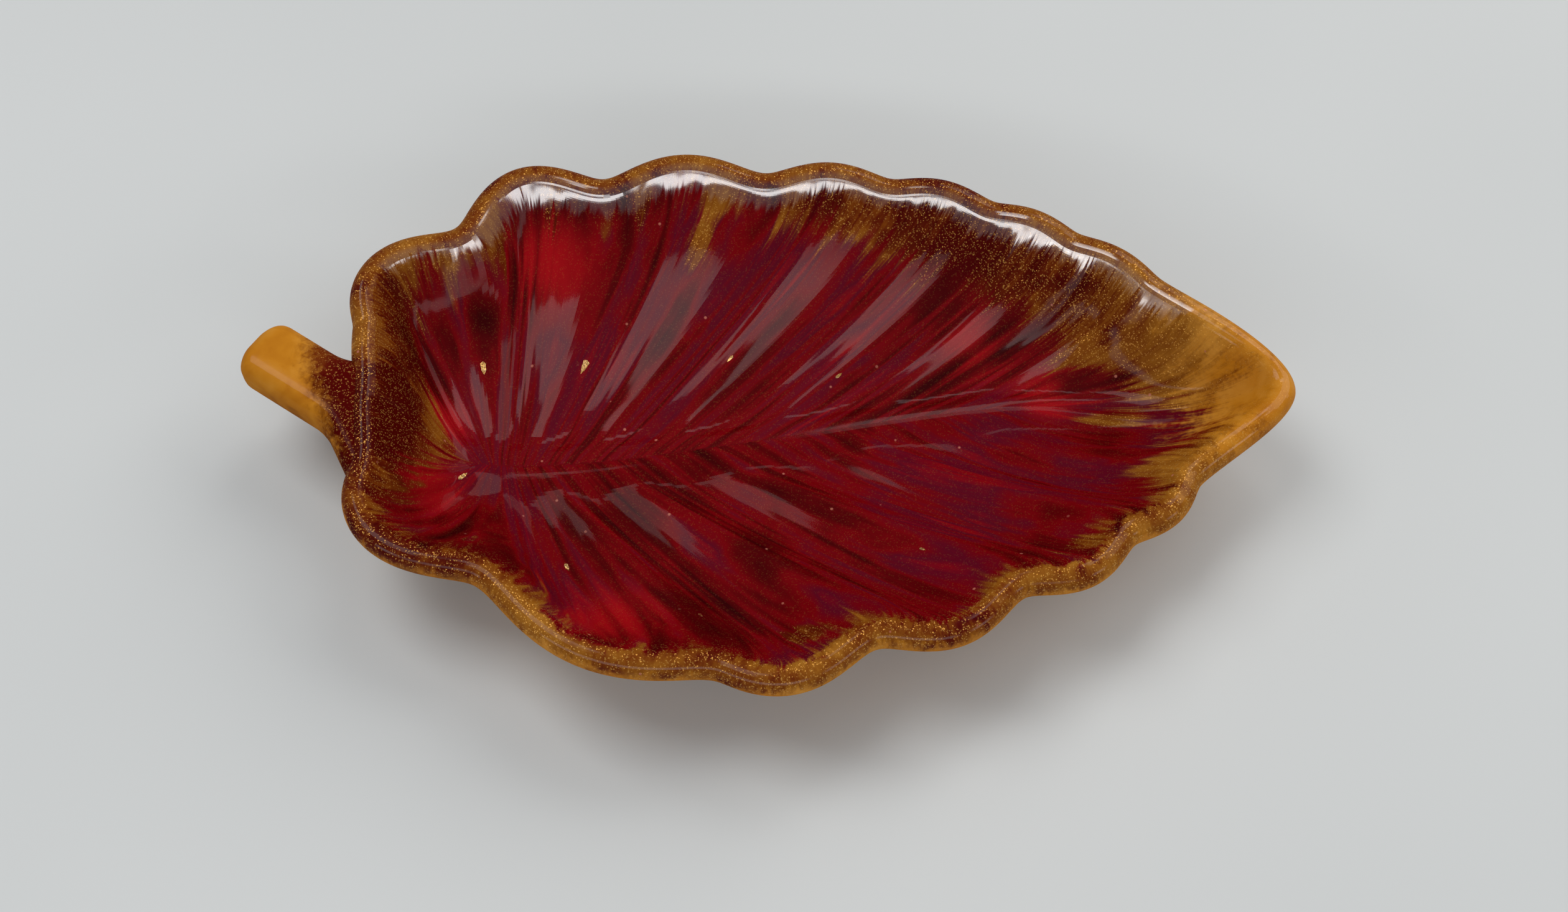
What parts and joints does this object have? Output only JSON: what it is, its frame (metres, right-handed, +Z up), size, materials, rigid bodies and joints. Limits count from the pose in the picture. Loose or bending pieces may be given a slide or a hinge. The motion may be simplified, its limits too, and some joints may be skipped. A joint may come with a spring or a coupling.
{
  "type": "ring dish",
  "caption": "Shallow leaf-shaped dish cast in glossy coloured resin, with a scalloped rounded lip, raised midrib and veins, a stub stem and a flat foot, for rings and small things on a dresser",
  "frame": {"origin": "centre of the flat foot, on the table", "axes": "+Z is up, +X runs from the stem to the tip of the leaf, +Y is the far side of the leaf"},
  "size_m": [0.1535, 0.0899, 0.02],
  "materials": {
    "red_resin": "high gloss, marbled red and wine",
    "gold_mica_resin": "high gloss, brown gold with mica glitter",
    "amber_resin": "gloss, pearl amber",
    "gold_flake": "bright crinkled foil"
  },
  "bodies": {
    "root": {"red_field": "red_resin", "gold_border": "gold_mica_resin", "amber_backing": "amber_resin", "amber_stem": "amber_resin", "amber_tip": "amber_resin", "gold_flakes": "gold_flake"}
  },
  "joints": []
}
